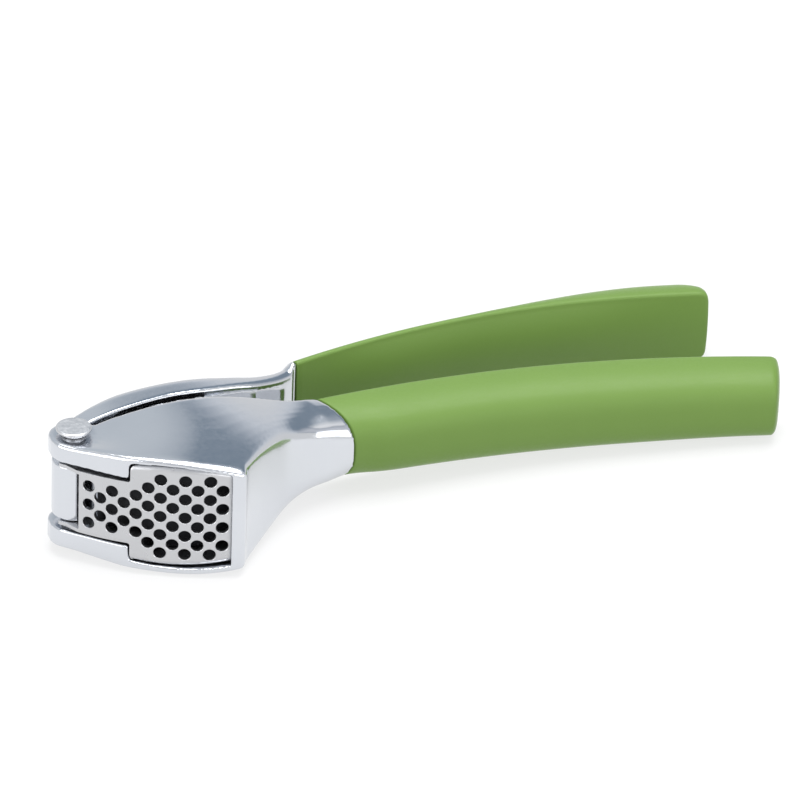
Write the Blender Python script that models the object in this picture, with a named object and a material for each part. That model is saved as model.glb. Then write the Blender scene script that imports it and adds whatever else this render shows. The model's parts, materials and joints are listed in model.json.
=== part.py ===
"""Garlic press with a swing-out sieve, for Blender 4.5.

The press lies on its side: the pivot pin stands along Z, the lower handle runs along +X, the
perforated front of the chamber faces -Y, and the plunger handle is on the +Y side, partly open.
Drawing functions take millimetres measured from the middle of the pivot pin. Meshes are in
metres, and every object has its origin on the axis that it turns about.
"""

import math

import bmesh
import bpy
from mathutils import Vector

MM = 0.001

# Place of the pivot pin's middle in the part's frame, whose origin is under the middle of the press.
PIVOT = (-86.196, -11.041, 16.1)

# Turned surfaces: every wall that slides past another is concentric with the pivot.
TURN_STEPS = 72
TURN_PHASE = 1.7
NOSE_RADIUS = 5.8
EAR_GAP_HALF = 9.4
TONGUE_RADIUS = 18.2
WINDOW_RADIUS = 40.9
CHAMBER_RADIUS = 42.1
POST_ANGLE = -37.1
CROWN_RADIUS = 27.0
FRAME_CROWN = 15.5
CHAMBER_CROWN = 13.95
CROWN_DROP = 1.5
CROWN_SPAN = 14.0
NOSE_DROP = 2.45
FRAME_UNDER = 0.6
EAR_FLAT_RADIUS = 6.0
NECK_RADIUS = 41.0
COLLAR_RADIUS = 61.0
COLLAR_HALF = 10.1

# Pivot pin and its tail washer.
PIN_RADIUS = 2.5
PIN_CLEARANCE = 0.08
LOOSE_CLEARANCE = 0.1
PIN_HEAD_RADIUS = 4.3
PIN_HEAD_TOP = 16.1
PIN_NECK_RADIUS = 2.9
TAIL_RADIUS = 1.7
WASHER_RADIUS = 4.2
REST_GAP = 0.3

# Sieve basket: a bent perforated plate with side walls, an end wall and two ears on the pin.
PLATE_START = (-1.0, -7.9)
PLATE_END = (32.6, -24.07)
PLATE_BEND = 64.0
PLATE_THICKNESS = 1.1
WALL_THICKNESS = 0.9
SIEVE_GAP = 0.35
SIEVE_EAR_RADIUS = 5.6
SIEVE_EAR_HALF = 8.5
SIEVE_END_RADIUS = 41.6
SIEVE_STEP_RADIUS = 18.6
STEP_FILLET = 0.6
CHAMBER_CORNER = 0.5
SIEVE_CORNER = 0.9
FOOT_CORNER = 1.2
HOLE_RADIUS = 1.52
HOLE_SIDES = 14
HOLE_PITCH = 2.966
HOLE_ROW = 2.53
FIRST_HOLE = 2.9

# Plunger: hub on the pin, channel-shaped arm, and a fin that carries the press foot.
HUB_RADIUS = 5.2
HUB_HALF = 7.4
FIN_HALF = 3.0
ARM_WALL = 2.3
ARM_RIM = 2.4
CHANNEL_SHIFT = 0.4
CHANNEL_FADE = (52.0, 60.5)
COLLAR_RING = 0.8
CHANNEL_RUNOUT = 0.5
CHANNEL_MOUTH = 1.5
CHANNEL_SQUARE = 8.0
CHANNEL_EDGE = 0.3
FOOT_PIN_PLACE = (24.0, -1.0)
FOOT_PIN_RADIUS = 1.5
FOOT_PIN_HALF = 7.2
FOOT_SLOT_HALF = 3.4
FOOT_OPEN_ANGLE = 10.0
FOOT_FACE_GAP = 1.0
FOOT_WALL_GAP = 0.4
FOOT_INNER_RADIUS = 8.0
FOOT_STEP_RADIUS = 20.6
FOOT_OUTER_RADIUS = 39.4
FOOT_TOP_ANGLE = -12.0

# Handles. Each casting runs on as a tang inside its grip, with a gap all round.
TANG_GAP = 0.3
TANG_END = 118.0
TILT_SPAN = 20.0
GRIP_HALF = 9.5
GRIP_SWELL = 0.6
SWELL_MIDDLE = 115.0
SWELL_SPAN = 62.0
TAPER_START = 140.0
TIP_CORNER = 2.4
TIP_NARROWING = 0.75

# The inner edge of a grip is a parabola through its peak, flatter for a larger curve. Its first
# sections are turned by tilt degrees to meet the collar. Depth, squareness and edge radius
# change from the first value to the second over the grow span; then the depth drops by taper
# towards the end, whose last stretch, rounding long, is narrowed. Wall is the grip's thickness.
LOWER = {
    "side": -1,
    "start": 62.5,
    "end": 178.5,
    "peak": (100.5, 11.2),
    "curve": 655.0,
    "tilt": 24.0,
    "wall": 2.4,
    "grow": (62.5, 83.0),
    "depth": (13.5, 13.7),
    "taper": 1.0,
    "square": (2.5, 2.7),
    "edge": (1.1, 1.1),
    "rounding": 2.0,
}
UPPER = {
    "side": 1,
    "start": 62.5,
    "end": 171.9,
    "peak": (134.7, 37.35),
    "curve": 447.0,
    "tilt": -5.0,
    "wall": 1.5,
    "grow": (100.0, 160.0),
    "depth": (6.0, 11.6),
    "taper": 0.0,
    "square": (1.65, 2.2),
    "edge": (0.8, 1.0),
    "rounding": 7.0,
}

SECTION_ANGLES = (0, 15, 30, 40, 45, 50, 60, 75, 90)


def clear_scene():
    for obj in list(bpy.data.objects):
        bpy.data.objects.remove(obj, do_unlink=True)


def material(name, colour, roughness, metallic):
    mat = bpy.data.materials.new(name)
    mat.use_nodes = True
    shader = mat.node_tree.nodes["Principled BSDF"]
    shader.inputs["Base Color"].default_value = (*colour, 1.0)
    shader.inputs["Roughness"].default_value = roughness
    shader.inputs["Metallic"].default_value = metallic
    return mat


def new_object(name, bm, mat=None):
    """Makes an object whose origin is the pivot."""
    bmesh.ops.recalc_face_normals(bm, faces=bm.faces)
    mesh = bpy.data.meshes.new(name)
    bm.to_mesh(mesh)
    bm.free()
    mesh.shade_smooth()
    mesh.set_sharp_from_angle(angle=math.radians(35))
    obj = bpy.data.objects.new(name, mesh)
    bpy.context.scene.collection.objects.link(obj)
    obj.location = Vector(PIVOT) * MM
    if mat:
        mesh.materials.append(mat)
    return obj


def as_cutter(obj):
    obj.hide_render = True
    obj.display_type = "WIRE"
    return obj


def combine(target, other, operation):
    """Adds a live Boolean to the target, and makes the other object its hidden tool."""
    as_cutter(other)
    mod = target.modifiers.new(other.name, "BOOLEAN")
    mod.operation = operation
    mod.solver = "EXACT"
    mod.object = other
    return target


def prism(outline, low, high):
    """An XY outline extruded from Z low to Z high."""
    bm = bmesh.new()
    corners = [bm.verts.new((x * MM, y * MM, low * MM)) for x, y in outline]
    face = bm.faces.new(corners)
    raised = bmesh.ops.extrude_face_region(bm, geom=[face])["geom"]
    moved = [item for item in raised if isinstance(item, bmesh.types.BMVert)]
    bmesh.ops.translate(bm, vec=(0, 0, (high - low) * MM), verts=moved)
    return bm


def turned(profile, start=TURN_PHASE, sweep=360.0, steps=TURN_STEPS):
    """A closed (radius, z) profile spun about the pivot from a start angle in degrees."""
    bm = bmesh.new()
    full = sweep >= 360.0
    count = steps if full else steps + 1
    poles = {z: bm.verts.new((0, 0, z * MM)) for radius, z in profile if radius == 0}
    rows = []
    for i in range(count):
        row = []
        for radius, z in profile:
            x, y = polar(radius, start + sweep * i / steps)
            row.append(bm.verts.new((x * MM, y * MM, z * MM)) if radius else poles[z])
        rows.append(row)
    pairs = [(rows[i], rows[(i + 1) % count]) for i in range(steps)]
    for one, two in pairs:
        for j in range(len(profile)):
            k = (j + 1) % len(profile)
            corners = list(dict.fromkeys((one[j], one[k], two[k], two[j])))
            if len(corners) > 2:
                bm.faces.new(corners)
    if not full:
        bm.faces.new(rows[0])
        bm.faces.new(rows[-1])
    return bm


def lofted(loops):
    """Skins equal-length closed loops of 3-D points and caps both ends."""
    bm = bmesh.new()
    rows = [[bm.verts.new(Vector(point) * MM) for point in loop] for loop in loops]
    size = len(rows[0])
    for one, two in zip(rows, rows[1:]):
        for j in range(size):
            k = (j + 1) % size
            bm.faces.new((one[j], one[k], two[k], two[j]))
    bm.faces.new(rows[0])
    bm.faces.new(rows[-1])
    return bm


def polar(radius, degrees):
    angle = math.radians(degrees)
    return (radius * math.cos(angle), radius * math.sin(angle))


def arc(radius, start, end, steps, centre=(0.0, 0.0)):
    points = []
    for i in range(steps + 1):
        x, y = polar(radius, start + (end - start) * i / steps)
        points.append((centre[0] + x, centre[1] + y))
    return points


def spun(point, degrees):
    """An XY point turned about the pivot."""
    angle = math.radians(degrees)
    x, y = point
    return (x * math.cos(angle) - y * math.sin(angle), x * math.sin(angle) + y * math.cos(angle))


def crown(peak, drop_in, radius):
    """Half-height of a barrel-shaped side, highest at the crown radius."""
    if radius < CROWN_RADIUS:
        return peak - drop_in * ((CROWN_RADIUS - radius) / CROWN_RADIUS) ** 2
    return peak - CROWN_DROP * ((radius - CROWN_RADIUS) / CROWN_SPAN) ** 2


def frame_half(radius):
    """Half-height of the frame's outside: flat ears, crowned chamber, then down to the collar."""
    radius = max(radius, EAR_FLAT_RADIUS)
    if radius < NECK_RADIUS:
        return crown(FRAME_CROWN, NOSE_DROP, radius)
    if radius > COLLAR_RADIUS:
        return COLLAR_HALF
    t = (radius - NECK_RADIUS) / (COLLAR_RADIUS - NECK_RADIUS)
    start = FRAME_CROWN - CROWN_DROP
    slope = -2 * CROWN_DROP / CROWN_SPAN * (COLLAR_RADIUS - NECK_RADIUS)
    fall = start * (2 * t**3 - 3 * t**2 + 1) + COLLAR_HALF * (3 * t**2 - 2 * t**3)
    return fall + slope * (t**3 - 2 * t**2 + t)


def chamber_half(radius):
    """Half-height of the chamber that is cut into the frame."""
    drop_in = CROWN_DROP * (CROWN_RADIUS / CROWN_SPAN) ** 2
    return crown(CHAMBER_CROWN, drop_in, radius)


def stepped_profile(step_radius, narrow_half, outer_radius, inset, corner):
    """Turned profile: narrow round the pivot, then the chamber's crowned height less an inset.

    The step's foot has a fillet, and its outer edge is rounded by corner.
    """
    top = [(0.0, narrow_half)]
    for degrees in (0, 45, 90):
        x, y = polar(STEP_FILLET, degrees - 90)
        top.append((step_radius - STEP_FILLET + x, narrow_half + STEP_FILLET + y))
    full = chamber_half(step_radius) - inset
    for degrees in (180, 135):
        x, y = polar(corner, degrees)
        top.append((step_radius + corner + x, full - corner + y))
    start = step_radius + corner
    radii = [start + (outer_radius - start) * i / 5 for i in range(6)]
    top += [(radius, chamber_half(radius) - inset) for radius in radii]
    return top + [(radius, -z) for radius, z in reversed(top)]


def section(inner, outer, half, square, edge, crowned=None):
    """A closed D-shaped loop from an inner edge to an outer one.

    half is the half-height and square the superellipse power: 2 is round, 20 nearly a box.
    The two corners at the inner edge are rounded by edge. crowned, if given, returns the
    half-height at a distance from the pivot and replaces half.
    """
    start = Vector(inner)
    reach = Vector(outer) - start
    depth = reach.length
    along = reach / depth
    top = [(0.0, 0.0), (0.0, 1.0 - edge / half), (0.3 * edge, 1.0 - 0.3 * edge / half)]
    for degrees in SECTION_ANGLES:
        s = math.sin(math.radians(degrees))
        c = math.cos(math.radians(degrees))
        size = (s**square + c**square) ** (-1.0 / square)
        top.append((edge + (depth - edge) * s * size, c * size if degrees < 90 else 0.0))
    loop = []
    for y, z in top:
        place = start + along * y
        height = crowned(place.length) if crowned else half
        loop.append((place.x, place.y, z * height))
    lower = [(x, y, -z) for x, y, z in reversed(loop[1:-1])]
    return loop + lower


def eased(value, low, high):
    """0 below low, 1 above high and a smooth S between."""
    t = min(1.0, max(0.0, (value - low) / (high - low)))
    return t * t * (3 - 2 * t)


def grip_section(grip, x, shrink):
    """One section of a grip, square to its inner edge except near the tilted collar."""
    peak_x, peak_y = grip["peak"]
    y = peak_y - (x - peak_x) ** 2 / grip["curve"]
    slope = math.degrees(math.atan(-2 * (x - peak_x) / grip["curve"]))
    tilt = slope + grip["tilt"] * (1 - eased(x, grip["start"], grip["start"] + TILT_SPAN))
    turn = math.radians(tilt)
    away = Vector((-math.sin(turn), math.cos(turn))) * grip["side"]
    half = GRIP_HALF + GRIP_SWELL * max(0.0, 1.0 - ((x - SWELL_MIDDLE) / SWELL_SPAN) ** 2)
    corner = max(0.0, (x - grip["end"]) / TIP_CORNER + 1.0)
    half -= TIP_CORNER * (1.0 - math.sqrt(1.0 - corner**2))
    grown = eased(x, *grip["grow"])
    spans = (grip["depth"], grip["square"], grip["edge"])
    depth, square, edge = (first + (second - first) * grown for first, second in spans)
    depth -= grip["taper"] * eased(x, TAPER_START, grip["end"])
    near_tip = max(0.0, (x - grip["end"]) / grip["rounding"] + 1.0)
    depth *= math.sqrt(1.0 - TIP_NARROWING * near_tip**2)
    inner = Vector((x, y)) + away * shrink
    outer = Vector((x, y)) + away * (depth - shrink)
    return section(inner, outer, half - shrink, square, min(edge, 0.3 * (depth - 2 * shrink)))


def grip_body(grip):
    """A closed-end sleeve: outer skin, mouth, and a blind cavity for the tang."""
    start, end = grip["start"], grip["end"]
    near = [start + TANG_GAP, start + 6, start + 13, start + 22]
    turn_in = end - grip["rounding"]
    far = [start + 22 + (turn_in - start - 22) * i / 6 for i in range(1, 7)]
    far += [turn_in + grip["rounding"] * share for share in (0.4, 0.7)]
    loops = [grip_section(grip, x, 0.0) for x in reversed(near + far)]
    tip_rows = ((0.0, 0.9), (0.15, 0.4), (0.5, 0.1))
    tip = [grip_section(grip, end - back, shrink) for back, shrink in tip_rows]
    cavity = [grip_section(grip, x, grip["wall"]) for x in near + [100.0, TANG_END + 1.0]]
    return lofted(tip + loops + cavity)


def tang_loops(grip):
    """The part of a casting that runs inside its grip, after the collar's own section."""
    start = grip["start"]
    inset = grip["wall"] + TANG_GAP
    stops = [start, start + 6, start + 13, start + 22, 100.0, TANG_END]
    return [grip_section(grip, start, 0.0)] + [grip_section(grip, x, inset) for x in stops]


# Pairs of edge points (rear, front) along the frame, from the nose to the neck, and squareness.
FRAME_STATIONS = (
    ((-5.9, 1.3), (-5.9, -1.4), 20),
    ((-5.1, 3.2), (-5.2, -3.4), 20),
    ((-3.3, 4.9), (-3.9, -5.1), 20),
    ((-0.8, 5.75), (0.3, -8.6), 22),
    ((1.8, 5.5), (4.2, -11.9), 22),
    ((4.0, 4.3), (8.2, -15.0), 24),
    ((5.9, 3.0), (12.0, -17.3), 24),
    ((9.4, 3.9), (17.0, -19.9), 24),
    ((12.9, 4.5), (21.8, -22.1), 24),
    ((17.5, 5.4), (26.0, -23.8), 24),
    ((25.0, 6.6), (30.2, -25.1), 24),
    ((31.0, 7.2), (33.8, -25.9), 24),
    ((34.0, 7.6), (35.3, -25.7), 24),
    ((36.5, 7.9), (36.9, -22.8), 22),
    ((41.5, 8.3), (41.2, -17.6), 15),
    ((46.5, 8.6), (46.4, -12.2), 9),
    ((51.0, 8.6), (51.8, -7.6), 5.5),
    ((55.6, 8.4), (58.0, -4.6), 4.0),
    ((59.6, 8.6), (64.4, -3.4), 3.0),
)


def lowered(loop):
    """A section of the frame with a thicker underside, which fades out along the neck."""
    points = []
    for x, y, z in loop:
        radius = math.hypot(x, y)
        extra = FRAME_UNDER * (1 - eased(radius, NECK_RADIUS, COLLAR_RADIUS))
        points.append((x, y, z if z > 0 else z * (1 + extra / frame_half(radius))))
    return points


def frame_casting(mat):
    """Lower handle casting: two ears, chamber walls, corner post, neck and tang."""
    loops = []
    for rear, front, square in FRAME_STATIONS:
        loops.append(lowered(section(rear, front, FRAME_CROWN, square, 0.5, frame_half)))
    loops += tang_loops(LOWER)
    body = new_object("frame_casting", lofted(loops), mat)
    hollow = stepped_profile(TONGUE_RADIUS, EAR_GAP_HALF, WINDOW_RADIUS, 0.0, CHAMBER_CORNER)
    combine(body, new_object("cut_chamber", turned(hollow)), "DIFFERENCE")
    rim = [
        (WINDOW_RADIUS - 3, chamber_half(WINDOW_RADIUS)),
        (CHAMBER_RADIUS, chamber_half(CHAMBER_RADIUS)),
    ]
    rim += [(radius, -z) for radius, z in reversed(rim)]
    behind_post = turned(rim, POST_ANGLE, 70.0, 14)
    combine(body, new_object("cut_behind_post", behind_post), "DIFFERENCE")
    bore = prism(arc(PIN_RADIUS + PIN_CLEARANCE, 0, 345, 23), -20, 20)
    combine(body, new_object("cut_frame_bore", bore), "DIFFERENCE")
    return body


def pivot_pin(mat):
    """Headed pin: low disc head on a short neck, plain shank, reduced tail."""
    ear = frame_half(0)
    under = -ear - FRAME_UNDER
    profile = [
        (0.0, PIN_HEAD_TOP),
        (PIN_HEAD_RADIUS - 1.1, PIN_HEAD_TOP),
        (PIN_HEAD_RADIUS - 0.4, PIN_HEAD_TOP - 0.15),
        (PIN_HEAD_RADIUS, PIN_HEAD_TOP - 0.45),
        (PIN_HEAD_RADIUS, PIN_HEAD_TOP - 1.0),
        (PIN_HEAD_RADIUS - 0.3, PIN_HEAD_TOP - 1.25),
        (PIN_NECK_RADIUS, PIN_HEAD_TOP - 1.25),
        (PIN_NECK_RADIUS, ear + REST_GAP),
        (PIN_RADIUS, ear + REST_GAP),
        (PIN_RADIUS, under - 0.1),
        (TAIL_RADIUS, under - 0.1),
        (TAIL_RADIUS, under - 0.9),
        (0.0, under - 0.9),
    ]
    return new_object("pivot_pin", turned(profile, steps=24), mat)


def tail_washer(mat):
    """Retaining washer pressed over the pin's tail."""
    under = -frame_half(0) - FRAME_UNDER
    profile = [
        (TAIL_RADIUS + 0.1, under - REST_GAP),
        (WASHER_RADIUS, under - REST_GAP),
        (WASHER_RADIUS, under - 0.7),
        (WASHER_RADIUS - 0.25, under - 0.95),
        (TAIL_RADIUS + 0.1, under - 0.95),
    ]
    return new_object("pin_tail_washer", turned(profile, steps=24), mat)


def plate_arc(offset, steps=14):
    """Bent line of the sieve plate; offset moves it towards the pivot's side."""
    start = Vector(PLATE_START)
    end = Vector(PLATE_END)
    middle = (start + end) / 2
    half_chord = (end - start).length / 2
    across = (end - start).normalized()
    inward = Vector((-across.y, across.x))
    centre = middle + inward * math.sqrt(PLATE_BEND**2 - half_chord**2)
    reach = math.asin(half_chord / PLATE_BEND)
    radius = PLATE_BEND - offset
    points = []
    for i in range(steps + 1):
        turn = -reach + 2 * reach * i / steps
        away = across * math.sin(turn) - inward * math.cos(turn)
        points.append(tuple(centre + away * radius))
    return points, centre, across, inward, reach


def sieve_holes():
    """Cutters for the staggered holes: fewer rows on the tongue, more on the wide part."""
    columns = [(-2, 0, 2), (-1, 1)] * 2 + [(-2, 0, 2), (-3, -1, 1, 3)]
    columns += [(-4, -2, 0, 2, 4), (-3, -1, 1, 3)] * 3
    _, centre, across, inward, reach = plate_arc(0.0)
    bm = bmesh.new()
    for number, rows in enumerate(columns):
        turn = -reach + (FIRST_HOLE + HOLE_PITCH * number) / PLATE_BEND
        away = across * math.sin(turn) - inward * math.cos(turn)
        side = across * math.cos(turn) + inward * math.sin(turn)
        for row in rows:
            ring = []
            for i in range(HOLE_SIDES):
                angle = 2 * math.pi * i / HOLE_SIDES
                shift = HOLE_RADIUS * math.cos(angle)
                height = row * HOLE_ROW + HOLE_RADIUS * math.sin(angle)
                ring.append((shift, height))
            ends = []
            for depth in (PLATE_BEND - PLATE_THICKNESS - 1.0, PLATE_BEND + 1.0):
                base = centre + away * depth
                corners = [base + side * shift for shift, _ in ring]
                points = [(p.x * MM, p.y * MM, h * MM) for p, (_, h) in zip(corners, ring)]
                ends.append([bm.verts.new(point) for point in points])
            for i in range(HOLE_SIDES):
                k = (i + 1) % HOLE_SIDES
                bm.faces.new((ends[0][i], ends[0][k], ends[1][k], ends[1][i]))
            bm.faces.new(ends[0])
            bm.faces.new(ends[1])
    return bm


def sieve_basket(mat):
    """Swing-out sieve: perforated plate, side walls, end wall and ears in one pressing."""
    front, *_ = plate_arc(0.0)
    end_angle = math.degrees(math.atan2(front[-1][1], front[-1][0]))
    outline = list(front)
    outline += arc(SIEVE_END_RADIUS, end_angle + 0.8, 8.6, 9)
    outline += [(26.0, 5.7), (15.0, 4.6), (8.0, 2.6), (5.4, 1.6)]
    outline += arc(SIEVE_EAR_RADIUS, 24, 236, 16)
    body = new_object("sieve_basket", prism(outline, -14.0, 14.0), mat)
    reach = SIEVE_END_RADIUS + 2
    outside = stepped_profile(SIEVE_STEP_RADIUS, SIEVE_EAR_HALF, reach, SIEVE_GAP, SIEVE_CORNER)
    combine(body, new_object("cut_sieve_outside", turned(outside)), "INTERSECT")
    back, *_ = plate_arc(PLATE_THICKNESS)
    inner_end = SIEVE_END_RADIUS - WALL_THICKNESS
    kept = [point for point in back if math.hypot(*point) < inner_end - 0.3]
    last = math.degrees(math.atan2(kept[-1][1], kept[-1][0]))
    space = [(-1.3, -9.2)] + kept + arc(inner_end, last + 0.6, 30, 11)
    space += [(30.0, 40.0), (-20.0, 40.0), (-20.0, -9.2)]
    room = new_object("cut_sieve_room", prism(space, -13.5, 13.5))
    inset = SIEVE_GAP + WALL_THICKNESS
    step = SIEVE_STEP_RADIUS + WALL_THICKNESS
    narrow = SIEVE_EAR_HALF - WALL_THICKNESS
    inside = stepped_profile(step, narrow, inner_end + 2, inset, CHAMBER_CORNER)
    combine(room, new_object("cut_sieve_inside", turned(inside)), "INTERSECT")
    bore = prism(arc(PIN_RADIUS + LOOSE_CLEARANCE, 0, 345, 23), -20, 20)
    combine(body, new_object("cut_sieve_bore", bore), "DIFFERENCE")
    combine(body, new_object("cut_sieve_holes", sieve_holes()), "DIFFERENCE")
    combine(body, room, "DIFFERENCE")
    return body


# Inner edge point, depth, half-height, squareness and inner edge radius along the plunger arm.
ARM_STATIONS = (
    ((3.6, 5.6), 4.9, 12.3, 14, 0.6),
    ((9.2, 8.0), 5.9, 12.8, 14, 0.6),
    ((16.8, 10.8), 7.0, 12.9, 14, 0.6),
    ((27.1, 13.9), 6.9, 12.6, 12, 0.7),
    ((37.0, 15.4), 7.0, 11.9, 10, 0.8),
    ((44.5, 16.9), 6.1, 11.0, 7, 1.0),
    ((51.0, 18.4), 5.6, 9.9, 4.5, 1.4),
    ((57.0, 20.9), 5.4, 8.8, 3.2, 1.7),
    ((61.0, 23.4), 5.4, 8.3, 2.6, 1.7),
)


def arm_loops(cut):
    """Sections of the arm; cut gives those of the channel in its underside instead."""
    loops = []
    last = len(ARM_STATIONS) - 1
    for i, (inner, depth, half, square, edge) in enumerate(ARM_STATIONS):
        before = Vector(ARM_STATIONS[max(0, i - 1)][0])
        after = Vector(ARM_STATIONS[min(last, i + 1)][0])
        along = (after - before).normalized()
        away = Vector((-along.y, along.x))
        start = Vector(inner)
        if not cut:
            loops.append(section(start, start + away * depth, half, square, edge))
        elif 0 < i < last:
            start += along * CHANNEL_SHIFT
            fade = 1.0 - eased(start.x, *CHANNEL_FADE)
            floor = start + away * ((depth - ARM_WALL + CHANNEL_RUNOUT) * fade - CHANNEL_RUNOUT)
            mouth = start - away * CHANNEL_MOUTH
            loops.append(section(mouth, floor, half - ARM_RIM, CHANNEL_SQUARE, CHANNEL_EDGE))
    return loops


def plunger_casting(mat):
    """Upper handle casting: hub, channel-shaped arm, fin for the foot and tang."""
    loops = arm_loops(False)
    loops.append(grip_section(UPPER, UPPER["start"] - COLLAR_RING, 0.0))
    loops += tang_loops(UPPER)
    body = new_object("plunger_casting", lofted(loops), mat)
    combine(body, new_object("cut_arm_channel", lofted(arm_loops(True))), "DIFFERENCE")
    hub = prism(arc(HUB_RADIUS, 0, 352.5, 47), -HUB_HALF, HUB_HALF)
    combine(body, new_object("add_hub", hub), "UNION")
    web = [(1.0, 4.0), (4.2, 2.0), (8.8, 7.4), (13.0, 10.6), (12.0, 13.0), (5.2, 10.0)]
    combine(body, new_object("add_web", prism(web, -HUB_HALF + 0.4, HUB_HALF - 0.4)), "UNION")
    fin = [(12.5, 10.4), (20.6, -1.2)] + arc(3.4, 184, 356, 8, FOOT_PIN_PLACE)
    fin += [(27.6, 0.5), (34.5, 17.0), (34.0, 21.0), (27.0, 19.6), (18.0, 17.3), (12.5, 15.0)]
    combine(body, new_object("add_fin", prism(fin, -FIN_HALF, FIN_HALF)), "UNION")
    bore = prism(arc(PIN_RADIUS + LOOSE_CLEARANCE, 0, 345, 23), -20, 20)
    combine(body, new_object("cut_hub_bore", bore), "DIFFERENCE")
    pin_hole = prism(arc(FOOT_PIN_RADIUS + PIN_CLEARANCE, 0, 340, 17, FOOT_PIN_PLACE), -8, 8)
    combine(body, new_object("cut_fin_bore", pin_hole), "DIFFERENCE")
    return body


def move_origin(obj, place):
    """Puts an object's origin on an axis beside the pivot without moving its shape."""
    shift = Vector((place[0], place[1], 0.0)) * MM
    for vertex in obj.data.vertices:
        vertex.co -= shift
    obj.location += shift
    return obj


def press_foot(mat):
    """Wedge-shaped foot that fills the sieve, with cheeks for its cross pin."""
    face, *_ = plate_arc(PLATE_THICKNESS + FOOT_FACE_GAP)
    face = [spun(point, FOOT_OPEN_ANGLE) for point in face]
    face = [p for p in face if FOOT_INNER_RADIUS < math.hypot(*p) < FOOT_OUTER_RADIUS - 0.6]
    low = math.degrees(math.atan2(face[-1][1], face[-1][0]))
    outline = face + arc(FOOT_OUTER_RADIUS, low + 0.5, FOOT_TOP_ANGLE, 4)
    outline += [(31.0, -6.0), (28.6, 0.8), (26.4, 2.6), (24.0, 3.2)]
    outline += [(21.4, 2.6), (19.4, 0.8), (17.0, -5.0), (8.0, -4.4)]
    body = new_object("press_foot", prism(outline, -14.0, 14.0), mat)
    inset = SIEVE_GAP + WALL_THICKNESS + FOOT_WALL_GAP
    narrow = SIEVE_EAR_HALF - WALL_THICKNESS - FOOT_WALL_GAP
    shape = stepped_profile(FOOT_STEP_RADIUS, narrow, FOOT_OUTER_RADIUS + 1, inset, FOOT_CORNER)
    combine(body, new_object("cut_foot_sides", turned(shape)), "INTERSECT")
    slot = prism([(15.0, -5.2), (33.0, -6.4), (33.0, 8.0), (15.0, 8.0)], -FOOT_SLOT_HALF, FOOT_SLOT_HALF)
    combine(body, new_object("cut_foot_slot", slot), "DIFFERENCE")
    for side, low_z, high_z in (("top", FOOT_PIN_HALF, 14.0), ("bottom", -14.0, -FOOT_PIN_HALF)):
        rear = [(12.0, -5.6), (42.0, -5.6), (42.0, 8.0), (12.0, 8.0)]
        combine(body, new_object("cut_foot_" + side, prism(rear, low_z, high_z)), "DIFFERENCE")
    hole = prism(arc(FOOT_PIN_RADIUS + PIN_CLEARANCE, 0, 340, 17, FOOT_PIN_PLACE), -20, 20)
    combine(body, new_object("cut_foot_bore", hole), "DIFFERENCE")
    return move_origin(body, FOOT_PIN_PLACE)


def foot_pin(mat):
    """Plain cross pin that holds the foot on the fin."""
    half = FOOT_PIN_HALF
    profile = [
        (0.0, half),
        (FOOT_PIN_RADIUS - 0.25, half),
        (FOOT_PIN_RADIUS, half - 0.25),
        (FOOT_PIN_RADIUS, 0.25 - half),
        (FOOT_PIN_RADIUS - 0.25, -half),
        (0.0, -half),
    ]
    pin = new_object("foot_pin", turned(profile, steps=18), mat)
    pin.location += Vector((FOOT_PIN_PLACE[0], FOOT_PIN_PLACE[1], 0.0)) * MM
    return pin


def main():
    clear_scene()
    chrome = material("chromed_zinc", (0.72, 0.73, 0.75), 0.12, 1.0)
    steel = material("satin_steel", (0.62, 0.62, 0.63), 0.3, 1.0)
    bare = material("cast_foot", (0.55, 0.56, 0.58), 0.35, 1.0)
    green = material("soft_grip", (0.19, 0.36, 0.08), 0.55, 0.0)
    frame_casting(chrome)
    plunger_casting(chrome)
    sieve_basket(steel)
    pivot_pin(chrome)
    tail_washer(steel)
    press_foot(bare)
    foot_pin(steel)
    new_object("lower_grip", grip_body(LOWER), green)
    new_object("upper_grip", grip_body(UPPER), green)


main()
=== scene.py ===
"""Looks of a garlic press with a swing-out sieve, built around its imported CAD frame.

Shapes are drawn in millimetres from the middle of the pivot pin, whose place the frame gives,
and written in metres. The press lies on its side, on its chamber and on the ends of its grips.
"""

import json
import math

import bmesh
import bpy
from mathutils import Matrix, Vector


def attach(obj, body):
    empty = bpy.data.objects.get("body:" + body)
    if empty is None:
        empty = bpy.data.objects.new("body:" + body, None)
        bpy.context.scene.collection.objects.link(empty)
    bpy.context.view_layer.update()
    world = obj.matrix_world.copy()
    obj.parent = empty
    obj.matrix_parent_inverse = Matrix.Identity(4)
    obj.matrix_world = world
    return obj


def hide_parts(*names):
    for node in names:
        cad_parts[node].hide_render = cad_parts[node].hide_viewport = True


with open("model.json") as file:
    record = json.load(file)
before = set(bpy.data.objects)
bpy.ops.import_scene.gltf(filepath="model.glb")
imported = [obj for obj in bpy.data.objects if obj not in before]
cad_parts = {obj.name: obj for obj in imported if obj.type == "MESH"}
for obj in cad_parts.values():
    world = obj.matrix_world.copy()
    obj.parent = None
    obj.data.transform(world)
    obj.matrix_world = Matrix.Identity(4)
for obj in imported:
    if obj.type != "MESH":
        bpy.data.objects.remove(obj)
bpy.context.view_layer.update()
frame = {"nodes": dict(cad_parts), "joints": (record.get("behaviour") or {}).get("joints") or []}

MM = 0.001
JOINTS = {joint["name"]: joint for joint in frame["joints"]}
PIVOT = Vector(JOINTS["sieve_swing"]["pos_m"])

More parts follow.
